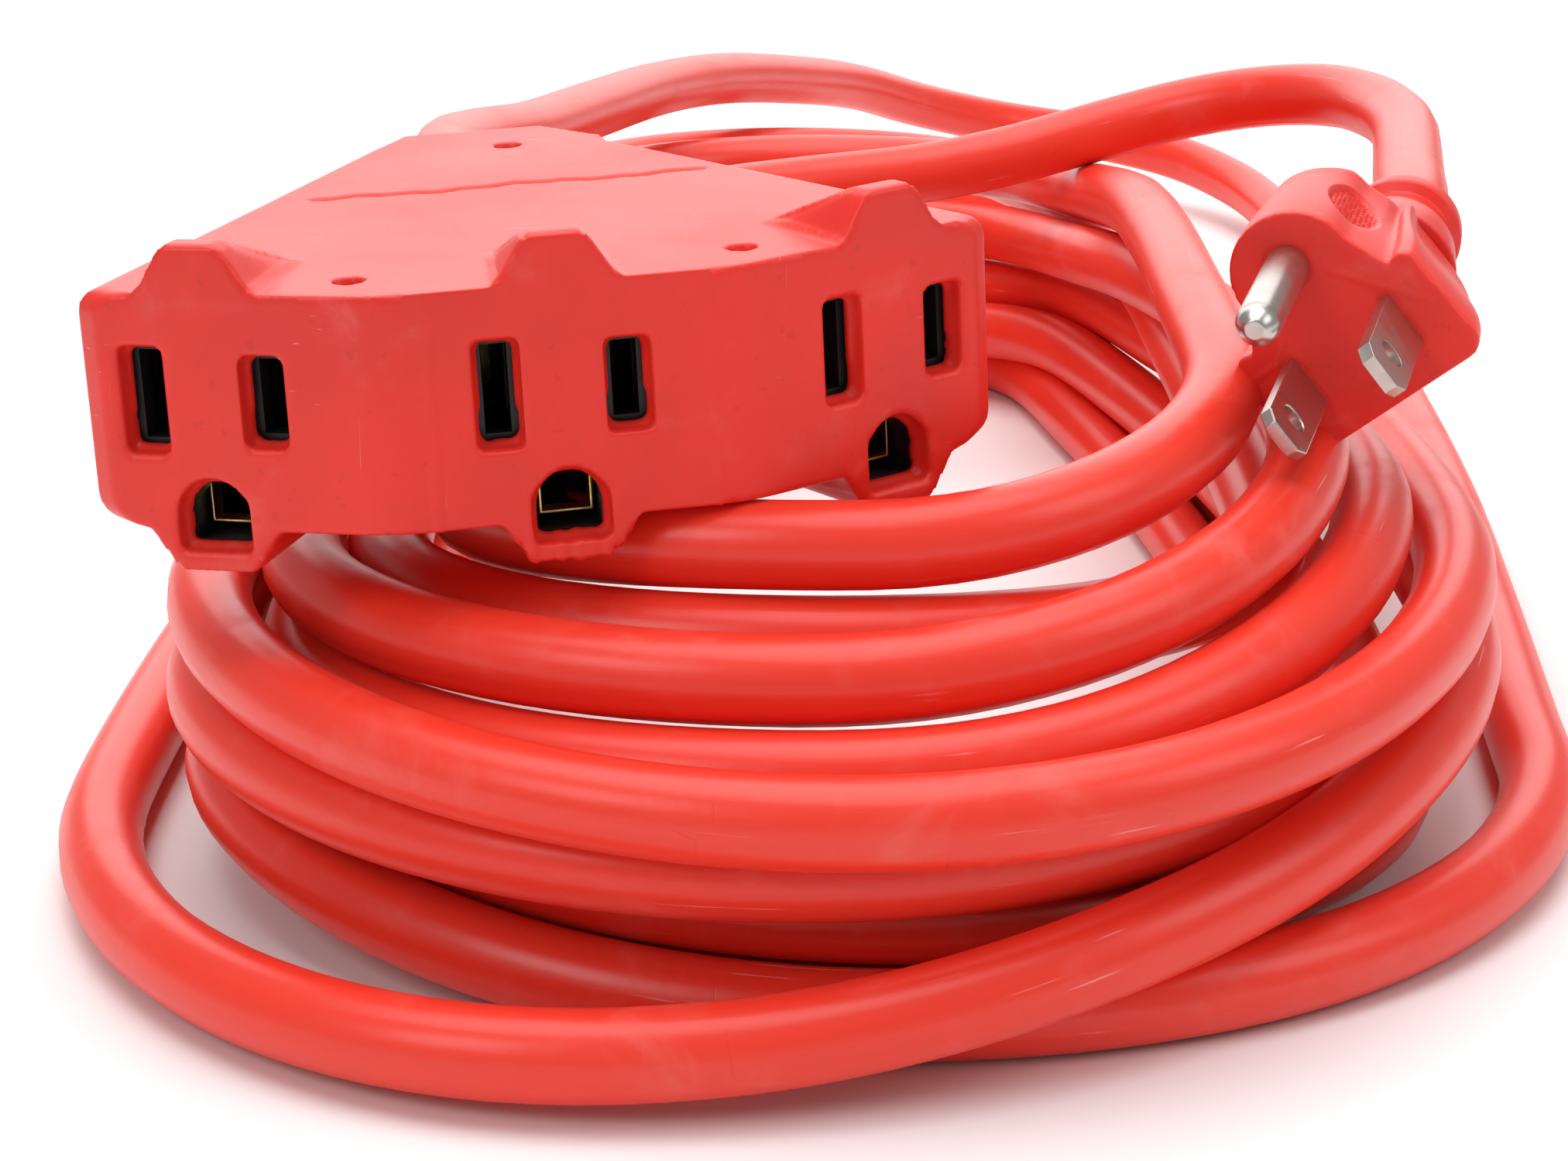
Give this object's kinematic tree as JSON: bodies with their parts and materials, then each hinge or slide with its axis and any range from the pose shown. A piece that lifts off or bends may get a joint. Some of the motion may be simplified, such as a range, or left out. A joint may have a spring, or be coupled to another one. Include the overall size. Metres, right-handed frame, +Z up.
{
  "type": "extension cord",
  "caption": "Coiled heavy-duty outdoor extension cord with a grounding plug resting on a flat moulded multi-outlet tap.",
  "frame": {"origin": "on the floor under the middle of the tap's front face, where the coil rests", "axes": "+Y straight into the middle outlet and away from the viewer, +X to the right along the tap's front, +Z up from the floor"},
  "size_m": [0.2387, 0.4329, 0.0801],
  "materials": {
    "tap_vinyl": "satin moulded vinyl",
    "cord_vinyl": "satin jacket vinyl",
    "black_plastic": "matte",
    "white_plastic": "matte",
    "brass": "bare sheet brass",
    "nickel": "nickel plated",
    "wire_black": "satin",
    "wire_white": "satin",
    "wire_green": "satin"
  },
  "bodies": {
    "root": {"tap_body": "tap_vinyl", "left_contact_carrier": "black_plastic", "middle_contact_carrier": "black_plastic", "right_contact_carrier": "black_plastic", "neutral_bus": "brass", "line_bus": "brass", "ground_bus": "brass", "tap_line_wire": "wire_black", "tap_neutral_wire": "wire_white", "tap_ground_wire": "wire_green", "tap_strain_relief": "tap_vinyl", "plug_body": "tap_vinyl", "plug_bridge": "white_plastic", "neutral_blade": "nickel", "line_blade": "nickel", "ground_pin": "nickel", "plug_line_wire": "wire_black", "plug_neutral_wire": "wire_white", "plug_ground_wire": "wire_green", "plug_strain_relief": "cord_vinyl", "cord_coil": "cord_vinyl", "cord_tap_lead": "cord_vinyl", "cord_plug_lead": "cord_vinyl"}
  },
  "joints": []
}
